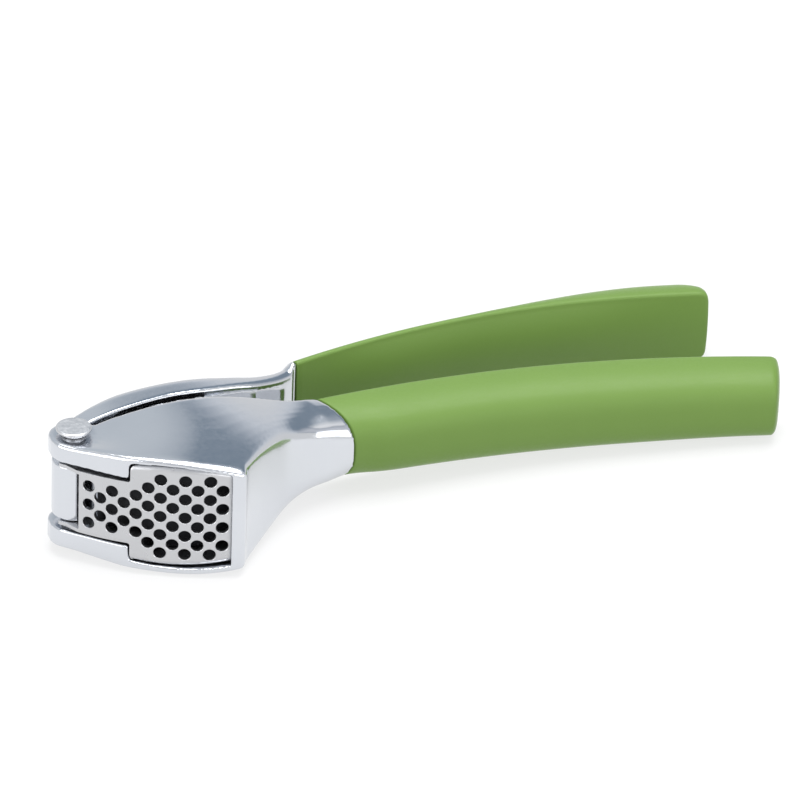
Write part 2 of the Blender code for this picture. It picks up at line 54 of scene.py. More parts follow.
# Chamber, ears and neck, as distances from the pivot and half-heights from its middle. Every
# wall that slides past another is turned about the pivot.
EAR_GAP_HALF = 9.4
TONGUE_RADIUS = 18.2
WINDOW_RADIUS = 40.9
CHAMBER_RADIUS = 42.1
POST_ANGLE = -37.1
CROWN_RADIUS = 27.0
FRAME_CROWN = 15.5
CHAMBER_CROWN = 13.95
CROWN_DROP = 1.5
CROWN_SPAN = 14.0
NOSE_DROP = 2.45
FRAME_UNDER = 0.6
EAR_FLAT_RADIUS = 6.0
NECK_RADIUS = 41.0
COLLAR_RADIUS = 61.0
COLLAR_HALF = 10.1
FRAME_EDGE = 0.5
WINDOW_RIM = 3.0
WINDOW_SWEEP = 70.0

# Pivot pin, with its low head and thin tail, and the washer on that tail.
PIN_RADIUS = 2.5
PIN_CLEARANCE = 0.08
LOOSE_CLEARANCE = 0.1
PIN_HEAD_RADIUS = 4.3
PIN_HEAD_TOP = 16.1
PIN_HEAD_EDGE = 0.45
PIN_NECK_RADIUS = 2.9
TAIL_RADIUS = 1.7
WASHER_RADIUS = 4.2
WASHER_EDGE = 0.25
REST_GAP = 0.3

# Sieve basket: a bent perforated plate with side walls, an end wall and two ears on the pin.
PLATE_START = (-1.0, -7.9)
PLATE_END = (32.6, -24.07)
PLATE_BEND = 64.0
PLATE_THICKNESS = 1.1
WALL_THICKNESS = 0.9
SIEVE_GAP = 0.35
BEND_RADIUS = 1.2
BEND_SQUARE = 40
SIEVE_EAR_RADIUS = 5.6
SIEVE_EAR_HALF = 8.5
SIEVE_END_RADIUS = 41.6
SIEVE_STEP_RADIUS = 18.6
STEP_FILLET = 0.6
CHAMBER_CORNER = 0.5
SIEVE_CORNER = 0.9
FOOT_CORNER = 1.2
HOLE_RADIUS = 1.52
HOLE_PITCH = 2.966
HOLE_ROW = 2.53
FIRST_HOLE = 2.9
HOLE_LIP = 0.12

# Plunger: hub on the pin, channel-shaped arm, and a fin that carries the press foot.
HUB_RADIUS = 5.2
HUB_HALF = 7.4
FIN_HALF = 3.0
ARM_WALL = 2.3
ARM_RIM = 2.4
CHANNEL_SHIFT = 0.4
CHANNEL_FADE = (52.0, 60.5)
COLLAR_RING = 0.8
CHANNEL_RUNOUT = 0.5
CHANNEL_MOUTH = 1.5
CHANNEL_SQUARE = 8
CHANNEL_EDGE = 0.3
WEB_HALF = 7.0
FOOT_PIN_PLACE = (24.0, -1.0)
FOOT_PIN_RADIUS = 1.5
FOOT_PIN_HALF = 7.2
FOOT_SLOT_HALF = 3.4
FOOT_OPEN_ANGLE = 10.0
FOOT_FACE_GAP = 1.0
FOOT_WALL_GAP = 0.4
FOOT_INNER_RADIUS = 8.0
FOOT_STEP_RADIUS = 20.6
FOOT_OUTER_RADIUS = 39.4
FOOT_TOP_ANGLE = -12.0

# Half-heights of the blanks that are cut to shape, and of the tools that cut right through.
BLANK_HALF = 14.0
ROOM_HALF = 13.5
THROUGH = 20.0
TOO_TALL = 16.0

# Handles. Each casting runs on as a tang inside its grip, with a gap all round.
TANG_GAP = 0.3
TANG_END = 118.0
TILT_SPAN = 20.0
GRIP_HALF = 9.5
GRIP_SWELL = 0.6
SWELL_MIDDLE = 115.0
SWELL_SPAN = 62.0
TAPER_START = 140.0
BULGE_FULL = 90.0
BULGE_FADE = 130.0
TIP_CORNER = 2.4
TIP_NARROWING = 0.75
TIP_RADIUS = 0.9
TIP_LENGTH = 0.8

# The inner edge of a grip is a parabola through its peak, flatter for a larger curve. Its first
# sections are turned by tilt degrees to meet the collar. Depth, squareness and edge radius
# change from the first value to the second over the grow span; then the depth drops by taper
# towards the end, whose last stretch, rounding long, is narrowed. Wall is the grip's thickness,
# and bulge is how far its inner face stands out in the middle.
LOWER = {
    "side": -1,
    "start": 62.5,
    "end": 178.5,
    "peak": (100.5, 11.2),
    "curve": 655.0,
    "tilt": 24.0,
    "wall": 2.4,
    "grow": (62.5, 83.0),
    "depth": (13.5, 13.7),
    "taper": 1.0,
    "square": (2.5, 2.7),
    "edge": (1.1, 1.1),
    "rounding": 2.0,
    "bulge": 0.0,
}
UPPER = {
    "side": 1,
    "start": 62.5,
    "end": 171.9,
    "peak": (134.7, 37.35),
    "curve": 447.0,
    "tilt": -5.0,
    "wall": 1.5,
    "grow": (100.0, 160.0),
    "depth": (6.0, 11.6),
    "taper": 0.0,
    "square": (1.65, 2.2),
    "edge": (0.8, 1.0),
    "rounding": 7.0,
    "bulge": 2.0,
}
# Material slot of each piece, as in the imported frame.
SLOTS = {
    "frame_casting": "cast_metal",
    "plunger_casting": "cast_metal",
    "pivot_pin": "cast_metal",
    "sieve_basket": "sieve_metal",
    "pin_tail_washer": "sieve_metal",
    "foot_pin": "sieve_metal",
    "press_foot": "foot_metal",
    "lower_grip": "soft_grip",
    "upper_grip": "soft_grip",
}

# Fineness of the shown surfaces: steps round a turn, angles of a section's outer curve, sections
# between two stations, and the voxel size and smoothing steps that round the castings' edges.
TURN_STEPS = 240
TURN_PHASE = 1.7
PIN_STEPS = 96
HOLE_SIDES = 36
SECTION_HEIGHTS = (0.0, 0.25, 0.5, 0.75, 0.92, 1.0)
SECTION_ANGLES = (0, 8, 16, 24, 31, 36, 40, 42.5, 44, 45, 46, 47.5, 50, 54, 59, 66, 74, 82, 90)
STATION_SPLITS = 5
CASTING_VOXEL = 0.33 * MM
CASTING_SMOOTHING = 8
FRAME_VOXEL = 0.365 * MM
FRAME_SMOOTHING = 6


def new_object(name, bm):
    """An object at the row's origin from a mesh drawn about the pivot."""
    bmesh.ops.recalc_face_normals(bm, faces=bm.faces)
    bmesh.ops.translate(bm, vec=PIVOT, verts=bm.verts)
    mesh = bpy.data.meshes.new(name)
    bm.to_mesh(mesh)
    bm.free()
    obj = bpy.data.objects.new(name, mesh)
    bpy.context.scene.collection.objects.link(obj)
    return obj


def apply_modifiers(obj):
    """Replaces an object's mesh by what its modifiers make of it."""
    bpy.context.view_layer.update()
    graph = bpy.context.evaluated_depsgraph_get()
    made = bpy.data.meshes.new_from_object(obj.evaluated_get(graph))
    obj.modifiers.clear()
    old = obj.data
    obj.data = made
    bpy.data.meshes.remove(old)
    return obj


def combine(target, other, operation):
    """Applies a Boolean with a tool object, which is then removed."""
    mod = target.modifiers.new("combine", "BOOLEAN")
    mod.operation = operation
    mod.solver = "EXACT"
    mod.object = other
    apply_modifiers(target)
    bpy.data.objects.remove(other, do_unlink=True)
    return target


def shade(obj, degrees):
    obj.data.shade_smooth()
    obj.data.set_sharp_from_angle(angle=math.radians(degrees))
    return obj


def round_edges(obj, width, degrees=35):
    """Small real radius along every edge sharper than the given angle."""
    mod = obj.modifiers.new("edges", "BEVEL")
    mod.width = width * MM
    mod.segments = 2
    mod.limit_method = "ANGLE"
    mod.angle_limit = math.radians(degrees)
    return apply_modifiers(obj)


def melt(obj, voxel, smoothing):
    """Turns a cut casting into one even skin with softly rounded edges."""
    remesh = obj.modifiers.new("skin", "REMESH")
    remesh.mode = "VOXEL"
    remesh.voxel_size = voxel
    apply_modifiers(obj)
    smooth = obj.modifiers.new("soften", "SMOOTH")
    smooth.factor = 0.5
    smooth.iterations = smoothing
    apply_modifiers(obj)
    obj.data.shade_smooth()
    return obj


def prism(outline, low, high):
    """An XY outline extruded from Z low to Z high."""
    bm = bmesh.new()
    corners = [bm.verts.new((x * MM, y * MM, low * MM)) for x, y in outline]
    face = bm.faces.new(corners)
    raised = bmesh.ops.extrude_face_region(bm, geom=[face])["geom"]
    moved = [item for item in raised if isinstance(item, bmesh.types.BMVert)]
    bmesh.ops.translate(bm, vec=(0, 0, (high - low) * MM), verts=moved)
    return bm


def turned(profile, start=TURN_PHASE, sweep=360.0, steps=TURN_STEPS, centre=(0.0, 0.0)):
    """A closed (radius, z) profile spun about an axis along Z."""
    bm = bmesh.new()
    full = sweep >= 360.0
    count = steps if full else steps + 1
    poles = {}
    rows = []
    for i in range(count):
        angle = math.radians(start + sweep * i / steps)
        row = []
        for radius, z in profile:
            if radius == 0:
                if z not in poles:
                    poles[z] = bm.verts.new((centre[0] * MM, centre[1] * MM, z * MM))
                row.append(poles[z])
            else:
                x = centre[0] + radius * math.cos(angle)
                y = centre[1] + radius * math.sin(angle)
                row.append(bm.verts.new((x * MM, y * MM, z * MM)))
        rows.append(row)
    for i in range(steps):
        one, two = rows[i], rows[(i + 1) % count]
        for j in range(len(profile)):
            k = (j + 1) % len(profile)
            corners = list(dict.fromkeys((one[j], one[k], two[k], two[j])))
            if len(corners) > 2:
                bm.faces.new(corners)
    if not full:
        bm.faces.new(rows[0])
        bm.faces.new(rows[-1])
    return bm


def lofted(loops):
    """Skins equal-length closed loops of 3-D points and caps both ends."""
    bm = bmesh.new()
    rows = [[bm.verts.new(Vector(point) * MM) for point in loop] for loop in loops]
    size = len(rows[0])
    for one, two in zip(rows, rows[1:]):
        for j in range(size):
            k = (j + 1) % size
            bm.faces.new((one[j], one[k], two[k], two[j]))
    bm.faces.new(rows[0])
    bm.faces.new(rows[-1])
    return bm


def arc(radius, start, end, steps, centre=(0.0, 0.0)):
    points = []
    for i in range(steps + 1):
        angle = math.radians(start + (end - start) * i / steps)
        points.append((centre[0] + radius * math.cos(angle), centre[1] + radius * math.sin(angle)))
    return points


def smooth_rows(rows, splits):
    """Catmull-Rom values between rows of numbers, passing through every row."""
    found = []
    last = len(rows) - 1
    for i in range(last):
        before, one, two, after = rows[max(0, i - 1)], rows[i], rows[i + 1], rows[min(last, i + 2)]
        for step in range(splits):
            t = step / splits
            row = []
            for a, b, c, d in zip(before, one, two, after):
                bend = (2 * a - 5 * b + 4 * c - d) * t * t + (3 * b - a - 3 * c + d) * t**3
                row.append(0.5 * (2 * b + (c - a) * t + bend))
            found.append(row)
    found.append(list(rows[-1]))
    return found


def crown(peak, drop_in, radius):
    """Half-height of a barrel-shaped side, highest at the crown radius."""
    if radius < CROWN_RADIUS:
        return peak - drop_in * ((CROWN_RADIUS - radius) / CROWN_RADIUS) ** 2
    return peak - CROWN_DROP * ((radius - CROWN_RADIUS) / CROWN_SPAN) ** 2


def frame_half(radius):
    """Half-height of the frame's outside: flat ears, crowned chamber, then down to the collar."""
    radius = max(radius, EAR_FLAT_RADIUS)
    if radius < NECK_RADIUS:
        return crown(FRAME_CROWN, NOSE_DROP, radius)
    if radius > COLLAR_RADIUS:
        return COLLAR_HALF
    t = (radius - NECK_RADIUS) / (COLLAR_RADIUS - NECK_RADIUS)
    start = FRAME_CROWN - CROWN_DROP
    slope = -2 * CROWN_DROP / CROWN_SPAN * (COLLAR_RADIUS - NECK_RADIUS)
    fall = start * (2 * t**3 - 3 * t**2 + 1) + COLLAR_HALF * (3 * t**2 - 2 * t**3)
    return fall + slope * (t**3 - 2 * t**2 + t)


def chamber_half(radius):
    drop_in = CROWN_DROP * (CROWN_RADIUS / CROWN_SPAN) ** 2
    return crown(CHAMBER_CROWN, drop_in, radius)


def stepped_profile(step_radius, narrow_half, outer_radius, inset, corner):
    """Turned profile: narrow round the pivot, then the chamber's crowned height less an inset."""
    top = [(0.0, narrow_half)]
    for x, y in arc(STEP_FILLET, -90, 0, 6):
        top.append((step_radius - STEP_FILLET + x, narrow_half + STEP_FILLET + y))
    full = chamber_half(step_radius) - inset
    for x, y in arc(corner, 180, 105, 5):
        top.append((step_radius + corner + x, full - corner + y))
    start = step_radius + corner
    radii = [start + (outer_radius - start) * i / 16 for i in range(17)]
    top += [(radius, chamber_half(radius) - inset) for radius in radii]
    return top + [(radius, -z) for radius, z in reversed(top)]


def section(inner, outer, half, square, edge, crowned=None, bulge=0.0):
    """A closed D-shaped loop from an inner edge to an outer one.

    Square is the superellipse power of the outer curve, edge the radius of the inner corners and
    bulge how far the middle of the inner face stands out. Crowned gives the half-height by the
    distance from the pivot, in place of half.
    """
    start = Vector(inner)
    reach = Vector(outer) - start
    depth = reach.length
    along = reach / depth
    flat = 1.0 - edge / half
    top = [(-bulge * (1 - part**2), part * flat) for part in SECTION_HEIGHTS]
    for degrees in (15, 30, 45, 60, 75):
        turn = math.radians(degrees)
        top.append((edge * (1 - math.cos(turn)), 1.0 - edge / half * (1 - math.sin(turn))))
    for degrees in SECTION_ANGLES:
        s = math.sin(math.radians(degrees))
        c = math.cos(math.radians(degrees))
        size = (s**square + c**square) ** (-1.0 / square)
        top.append((edge + (depth - edge) * s * size, c * size if degrees < 90 else 0.0))
    loop = []
    for y, z in top:
        place = start + along * y
        height = crowned(place.length) if crowned else half
        loop.append((place.x, place.y, z * height))
    lower = [(x, y, -z) for x, y, z in reversed(loop[1:-1])]
    return loop + lower


def eased(value, low, high):
    """0 below low, 1 above high and a smooth S between."""
    t = min(1.0, max(0.0, (value - low) / (high - low)))
    return t * t * (3 - 2 * t)


def grip_section(grip, x, shrink):
    """One section of a grip, square to its inner edge except near the tilted collar."""
    peak_x, peak_y = grip["peak"]
    y = peak_y - (x - peak_x) ** 2 / grip["curve"]
    slope = math.degrees(math.atan(-2 * (x - peak_x) / grip["curve"]))
    tilt = slope + grip["tilt"] * (1 - eased(x, grip["start"], grip["start"] + TILT_SPAN))
    turn = math.radians(tilt)
    away = Vector((-math.sin(turn), math.cos(turn))) * grip["side"]
    half = GRIP_HALF + GRIP_SWELL * max(0.0, 1.0 - ((x - SWELL_MIDDLE) / SWELL_SPAN) ** 2)
    corner = max(0.0, (x - grip["end"]) / TIP_CORNER + 1.0)
    half -= TIP_CORNER * (1.0 - math.sqrt(1.0 - corner**2))
    grown = eased(x, *grip["grow"])
    growing = (grip["depth"], grip["square"], grip["edge"])
    depth, square, edge = (first + (second - first) * grown for first, second in growing)
    depth -= grip["taper"] * eased(x, TAPER_START, grip["end"])
    near_tip = max(0.0, (x - grip["end"]) / grip["rounding"] + 1.0)
    depth *= math.sqrt(1.0 - TIP_NARROWING * near_tip**2)
    inner = Vector((x, y)) + away * shrink
    outer = Vector((x, y)) + away * (depth - shrink)
    edge = min(edge, 0.3 * (depth - 2 * shrink))
    bulge = grip["bulge"] * eased(x, grip["start"], BULGE_FULL)
    bulge *= 1 - 0.7 * eased(x, BULGE_FADE, grip["end"])
    return section(inner, outer, half - shrink, square, edge, None, bulge)


def spaced(start, end, step):
    count = max(1, round((end - start) / step))
    return [start + (end - start) * i / count for i in range(count + 1)]


def tang_loops(grip):
    """The casting inside its grip, after the collar's own section."""
    start = grip["start"]
    shrink = grip["wall"] + TANG_GAP
    loops = [grip_section(grip, start, depth) for depth in (0.0, shrink)]
    return loops + [grip_section(grip, x, shrink) for x in spaced(start + 2.0, TANG_END, 4.0)]


def grip_skin(name, grip):
    """Soft sleeve with rolled mouth and tip, open inside for the tang."""
    start, end = grip["start"] + TANG_GAP, grip["end"]
    tip = []
    for i in range(9):
        turn = math.radians(90 - 11.25 * i)
        tip.append((end - TIP_LENGTH * (1 - math.sin(turn)), TIP_RADIUS * (1 - math.cos(turn))))
    # From the tip back to the mouth along the outside, then in again along the tang's space.
    loops = [grip_section(grip, x, shrink) for x, shrink in tip]
    turn_in = end - grip["rounding"]
    loops += [grip_section(grip, x, 0.0) for x in reversed(spaced(turn_in, end - TIP_LENGTH - 0.3, 0.5))]
    loops += [grip_section(grip, x, 0.0) for x in reversed(spaced(start + 0.3, turn_in - 1.0, 1.5))]
    loops += [grip_section(grip, start + 0.08, 0.09), grip_section(grip, start, 0.25)]
    loops += [grip_section(grip, x, grip["wall"]) for x in spaced(start, TANG_END + 1.0, 3.0)]
    body = "frame" if grip is LOWER else "plunger"
    return placed(new_object(name + "_skin", lofted(loops)), body, name, 50)


# Pairs of edge points (rear, front) along the frame, from the nose to the neck, and squareness.
FRAME_STATIONS = (
    (-5.9, 1.3, -5.9, -1.4, 20),
    (-5.1, 3.2, -5.2, -3.4, 20),
    (-3.3, 4.9, -3.9, -5.1, 20),
    (-0.8, 5.75, 0.3, -8.6, 22),
    (1.8, 5.5, 4.2, -11.9, 22),
    (4.0, 4.3, 8.2, -15.0, 24),
    (5.9, 3.0, 12.0, -17.3, 24),
    (9.4, 3.9, 17.0, -19.9, 24),
    (12.9, 4.5, 21.8, -22.1, 24),
    (17.5, 5.4, 26.0, -23.8, 24),
    (25.0, 6.6, 30.2, -25.1, 24),
    (31.0, 7.2, 33.8, -25.9, 24),
    (34.0, 7.6, 35.3, -25.7, 24),
    (36.5, 7.9, 36.9, -22.8, 22),
    (41.5, 8.3, 41.2, -17.6, 15),
    (46.5, 8.6, 46.4, -12.2, 9),
    (51.0, 8.6, 51.8, -7.6, 5.5),
    (55.6, 8.4, 58.0, -4.6, 4.0),
    (59.6, 8.6, 64.4, -3.4, 3.0),
)


def placed(obj, body, node, degrees):
    """Shades a finished piece, joins it to a body and hides the CAD node that it stands for."""
    shade(obj, degrees)
    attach(obj, body)
    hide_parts(node)
    return obj


def lowered(loop):
    """A section of the frame with a thicker underside, which fades out along the neck."""
    points = []
    for x, y, z in loop:
        radius = math.hypot(x, y)
        extra = FRAME_UNDER * (1 - eased(radius, NECK_RADIUS, COLLAR_RADIUS))
        points.append((x, y, z if z > 0 else z * (1 + extra / frame_half(radius))))
    return points


def frame_casting():
    """Lower handle's casting: ears, chamber with its window and corner post, neck and tang."""
    loops = []
    for rear_x, rear_y, front_x, front_y, square in smooth_rows(FRAME_STATIONS, STATION_SPLITS):
        rear, front = (rear_x, rear_y), (front_x, front_y)
        loops.append(lowered(section(rear, front, FRAME_CROWN, square, FRAME_EDGE, frame_half)))
    loops += tang_loops(LOWER)
    body = new_object("frame_casting_skin", lofted(loops))
    hollow = stepped_profile(TONGUE_RADIUS, EAR_GAP_HALF, WINDOW_RADIUS, 0.0, CHAMBER_CORNER)
    combine(body, new_object("tool", turned(hollow)), "DIFFERENCE")
    near = WINDOW_RADIUS - WINDOW_RIM
    rim = [(near, chamber_half(near)), (CHAMBER_RADIUS, chamber_half(CHAMBER_RADIUS))]
    rim += [(radius, -z) for radius, z in reversed(rim)]
    combine(body, new_object("tool", turned(rim, POST_ANGLE, WINDOW_SWEEP, 48)), "DIFFERENCE")
    bore = prism(arc(PIN_RADIUS + PIN_CLEARANCE, 0, 354, 59), -THROUGH, THROUGH)
    combine(body, new_object("tool", bore), "DIFFERENCE")
    melt(body, FRAME_VOXEL, FRAME_SMOOTHING)
    return placed(body, "frame", "frame_casting", 180)


# Inner edge point, depth, half-height, squareness and inner edge radius along the plunger arm.
ARM_STATIONS = (
    (3.6, 5.6, 4.9, 12.3, 14, 0.6),
    (9.2, 8.0, 5.9, 12.8, 14, 0.6),
    (16.8, 10.8, 7.0, 12.9, 14, 0.6),
    (27.1, 13.9, 6.9, 12.6, 12, 0.7),
    (37.0, 15.4, 7.0, 11.9, 10, 0.8),
    (44.5, 16.9, 6.1, 11.0, 7, 1.0),
    (51.0, 18.4, 5.6, 9.9, 4.5, 1.4),
    (57.0, 20.9, 5.4, 8.8, 3.2, 1.7),
    (61.0, 23.4, 5.4, 8.3, 2.6, 1.7),
)


def arm_loops(cut):
    """Sections of the arm; cut gives those of the channel in its underside instead."""
    rows = smooth_rows(ARM_STATIONS, STATION_SPLITS)
    loops = []
    last = len(rows) - 1
    for i, (x, y, depth, half, square, edge) in enumerate(rows):
        before = Vector(rows[max(0, i - 1)][:2])
        after = Vector(rows[min(last, i + 1)][:2])
        along = (after - before).normalized()
        away = Vector((-along.y, along.x))
        start = Vector((x, y))
        if not cut:
            loops.append(section(start, start + away * depth, half, square, edge))
        elif STATION_SPLITS <= i < last:
            start += along * CHANNEL_SHIFT
            fade = 1.0 - eased(start.x, *CHANNEL_FADE)
            floor = start + away * ((depth - ARM_WALL + CHANNEL_RUNOUT) * fade - CHANNEL_RUNOUT)
            mouth = start - away * CHANNEL_MOUTH
            loops.append(section(mouth, floor, half - ARM_RIM, CHANNEL_SQUARE, CHANNEL_EDGE))
    return loops


def plunger_casting():
    """Upper handle's casting: hub, channel-shaped arm, fin for the foot, and tang."""
    loops = arm_loops(False)
    loops.append(grip_section(UPPER, UPPER["start"] - COLLAR_RING, 0.0))
    body = new_object("plunger_casting_skin", lofted(loops + tang_loops(UPPER)))
    combine(body, new_object("tool", lofted(arm_loops(True))), "DIFFERENCE")
    hub = prism(arc(HUB_RADIUS, 0, 357, 119), -HUB_HALF, HUB_HALF)
    combine(body, new_object("tool", hub), "UNION")
    web = [(1.0, 4.0), (4.2, 2.0), (8.8, 7.4), (13.0, 10.6), (12.0, 13.0), (5.2, 10.0)]
    combine(body, new_object("tool", prism(web, -WEB_HALF, WEB_HALF)), "UNION")
    fin = [(12.5, 10.4), (20.6, -1.2)] + arc(3.4, 184, 356, 32, FOOT_PIN_PLACE)
    fin += [(27.6, 0.5), (34.5, 17.0), (34.0, 21.0), (27.0, 19.6), (18.0, 17.3), (12.5, 15.0)]
    combine(body, new_object("tool", prism(fin, -FIN_HALF, FIN_HALF)), "UNION")
    bore = prism(arc(PIN_RADIUS + LOOSE_CLEARANCE, 0, 354, 59), -THROUGH, THROUGH)
    combine(body, new_object("tool", bore), "DIFFERENCE")
    pin_hole = prism(arc(FOOT_PIN_RADIUS + PIN_CLEARANCE, 0, 352, 44, FOOT_PIN_PLACE), -8, 8)
    combine(body, new_object("tool", pin_hole), "DIFFERENCE")
    melt(body, CASTING_VOXEL, CASTING_SMOOTHING)
    return placed(body, "plunger", "plunger_casting", 180)


def plate_arc(offset, steps=56):
    """Bent line of the sieve plate, moved by offset towards the plunger, and its circle's facts."""
    start = Vector(PLATE_START)
    end = Vector(PLATE_END)
    middle = (start + end) / 2
    half_chord = (end - start).length / 2
    across = (end - start).normalized()
    inward = Vector((-across.y, across.x))
    centre = middle + inward * math.sqrt(PLATE_BEND**2 - half_chord**2)
    reach = math.asin(half_chord / PLATE_BEND)
    points = []
    for i in range(steps + 1):
        turn = -reach + 2 * reach * i / steps
        away = across * math.sin(turn) - inward * math.cos(turn)
        points.append(tuple(centre + away * (PLATE_BEND - offset)))
    return points, centre, across, inward, reach


def sieve_holes():
    """Cutters for the staggered holes, each a little wider at the front of the plate."""
    columns = [(-2, 0, 2), (-1, 1)] * 2 + [(-2, 0, 2), (-3, -1, 1, 3)]
    columns += [(-4, -2, 0, 2, 4), (-3, -1, 1, 3)] * 3
    _, centre, across, inward, reach = plate_arc(0.0)
    inside = PLATE_BEND - PLATE_THICKNESS
    rings = ((inside - 1.0, 0.0), (PLATE_BEND - HOLE_LIP, 0.0), (PLATE_BEND + 0.15, HOLE_LIP + 0.15))
    bm = bmesh.new()
    for number, rows in enumerate(columns):
        turn = -reach + (FIRST_HOLE + HOLE_PITCH * number) / PLATE_BEND
        away = across * math.sin(turn) - inward * math.cos(turn)
        side = across * math.cos(turn) + inward * math.sin(turn)
        for row in rows:
            ends = []
            for depth, wider in rings:
                base = centre + away * depth
                loop = []
                for i in range(HOLE_SIDES):
                    angle = 2 * math.pi * i / HOLE_SIDES
                    place = base + side * ((HOLE_RADIUS + wider) * math.cos(angle))
                    height = row * HOLE_ROW + (HOLE_RADIUS + wider) * math.sin(angle)
                    loop.append(bm.verts.new((place.x * MM, place.y * MM, height * MM)))
                ends.append(loop)
            for one, two in zip(ends, ends[1:]):
                for i in range(HOLE_SIDES):
                    k = (i + 1) % HOLE_SIDES
                    bm.faces.new((one[i], one[k], two[k], two[i]))
            bm.faces.new(ends[0])
            bm.faces.new(ends[-1])
    return bm


def bend_sections():
    """Sections behind the plate, whose front corners have the radius of the sheet's bends."""
    _, centre, across, inward, reach = plate_arc(0.0)
    loops = []
    for i in range(-6, 46):
        turn = -reach + 2 * reach * i / 40
        away = across * math.sin(turn) - inward * math.cos(turn)
        front, rear = centre + away * PLATE_BEND, centre + away * 2.0
        loops.append(section(front, rear, 10.0, BEND_SQUARE, BEND_RADIUS, sieve_half))
    return loops


def sieve_half(radius):
    """Half-height of the sieve's outside beyond its step; far taller where other tools cut it."""
    if radius < SIEVE_STEP_RADIUS - 0.2:
        return TOO_TALL
    return chamber_half(min(radius, SIEVE_END_RADIUS + 2)) - SIEVE_GAP


def sieve_basket():
    """Pressed sieve: perforated bent plate, side walls, end wall and two ears on the pin."""
    front, *_ = plate_arc(0.0)
    end_angle = math.degrees(math.atan2(front[-1][1], front[-1][0]))
    outline = list(front)
    outline += arc(SIEVE_END_RADIUS, end_angle + 0.8, 8.6, 36)
    outline += [(26.0, 5.7), (15.0, 4.6), (8.0, 2.6), (5.4, 1.6)]
    outline += arc(SIEVE_EAR_RADIUS, 24, 236, 64)
    body = new_object("sieve_basket_skin", prism(outline, -BLANK_HALF, BLANK_HALF))
    reach = SIEVE_END_RADIUS + 2
    outside = stepped_profile(SIEVE_STEP_RADIUS, SIEVE_EAR_HALF, reach, SIEVE_GAP, SIEVE_CORNER)
    combine(body, new_object("tool", turned(outside)), "INTERSECT")
    combine(body, new_object("tool", lofted(bend_sections())), "INTERSECT")
    back, *_ = plate_arc(PLATE_THICKNESS)
    inner_end = SIEVE_END_RADIUS - WALL_THICKNESS
    kept = [point for point in back if math.hypot(*point) < inner_end - 0.3]
    last = math.degrees(math.atan2(kept[-1][1], kept[-1][0]))
    space = [(-1.3, -9.2)] + kept + arc(inner_end, last + 0.6, 30, 44)
    space += [(30.0, 40.0), (-20.0, 40.0), (-20.0, -9.2)]
    room = new_object("room", prism(space, -ROOM_HALF, ROOM_HALF))
    inset = SIEVE_GAP + WALL_THICKNESS
    step = SIEVE_STEP_RADIUS + WALL_THICKNESS
    narrow = SIEVE_EAR_HALF - WALL_THICKNESS
    inside = stepped_profile(step, narrow, inner_end + 2, inset, CHAMBER_CORNER)
    combine(room, new_object("tool", turned(inside)), "INTERSECT")
    bore = prism(arc(PIN_RADIUS + LOOSE_CLEARANCE, 0, 354, 59), -THROUGH, THROUGH)
    combine(body, new_object("tool", bore), "DIFFERENCE")
    combine(body, room, "DIFFERENCE")
    round_edges(body, 0.15)
    combine(body, new_object("tool", sieve_holes()), "DIFFERENCE")
    return placed(body, "sieve", "sieve_basket", 30)


def spun(point, degrees):
    """An XY point turned about the pivot."""
    angle = math.radians(degrees)
    x, y = point
    return (x * math.cos(angle) - y * math.sin(angle), x * math.sin(angle) + y * math.cos(angle))


def press_foot():
    """Wedge-shaped foot that fills the sieve, with cheeks for its cross pin."""
    face, *_ = plate_arc(PLATE_THICKNESS + FOOT_FACE_GAP)
    face = [spun(point, FOOT_OPEN_ANGLE) for point in face]
    face = [p for p in face if FOOT_INNER_RADIUS < math.hypot(*p) < FOOT_OUTER_RADIUS - 0.6]
    low = math.degrees(math.atan2(face[-1][1], face[-1][0]))
    outline = face + arc(FOOT_OUTER_RADIUS, low + 0.5, FOOT_TOP_ANGLE, 16)
    outline += [(31.0, -6.0), (28.6, 0.8), (26.4, 2.6), (24.0, 3.2), (21.4, 2.6), (19.4, 0.8)]
    outline += [(17.0, -5.0), (8.0, -4.4)]
    body = new_object("press_foot_skin", prism(outline, -BLANK_HALF, BLANK_HALF))
    inset = SIEVE_GAP + WALL_THICKNESS + FOOT_WALL_GAP
    narrow = SIEVE_EAR_HALF - WALL_THICKNESS - FOOT_WALL_GAP
    shape = stepped_profile(FOOT_STEP_RADIUS, narrow, FOOT_OUTER_RADIUS + 1, inset, FOOT_CORNER)
    combine(body, new_object("tool", turned(shape)), "INTERSECT")
    slot = [(15.0, -5.2), (33.0, -6.4), (33.0, 8.0), (15.0, 8.0)]
    combine(body, new_object("tool", prism(slot, -FOOT_SLOT_HALF, FOOT_SLOT_HALF)), "DIFFERENCE")
    for low_z, high_z in ((FOOT_PIN_HALF, BLANK_HALF), (-BLANK_HALF, -FOOT_PIN_HALF)):
        rear = [(12.0, -5.6), (42.0, -5.6), (42.0, 8.0), (12.0, 8.0)]
        combine(body, new_object("tool", prism(rear, low_z, high_z)), "DIFFERENCE")
    hole = prism(arc(FOOT_PIN_RADIUS + PIN_CLEARANCE, 0, 352, 44, FOOT_PIN_PLACE), -THROUGH, THROUGH)
    combine(body, new_object("tool", hole), "DIFFERENCE")
    melt(body, CASTING_VOXEL, CASTING_SMOOTHING)
    return placed(body, "foot", "press_foot", 180)


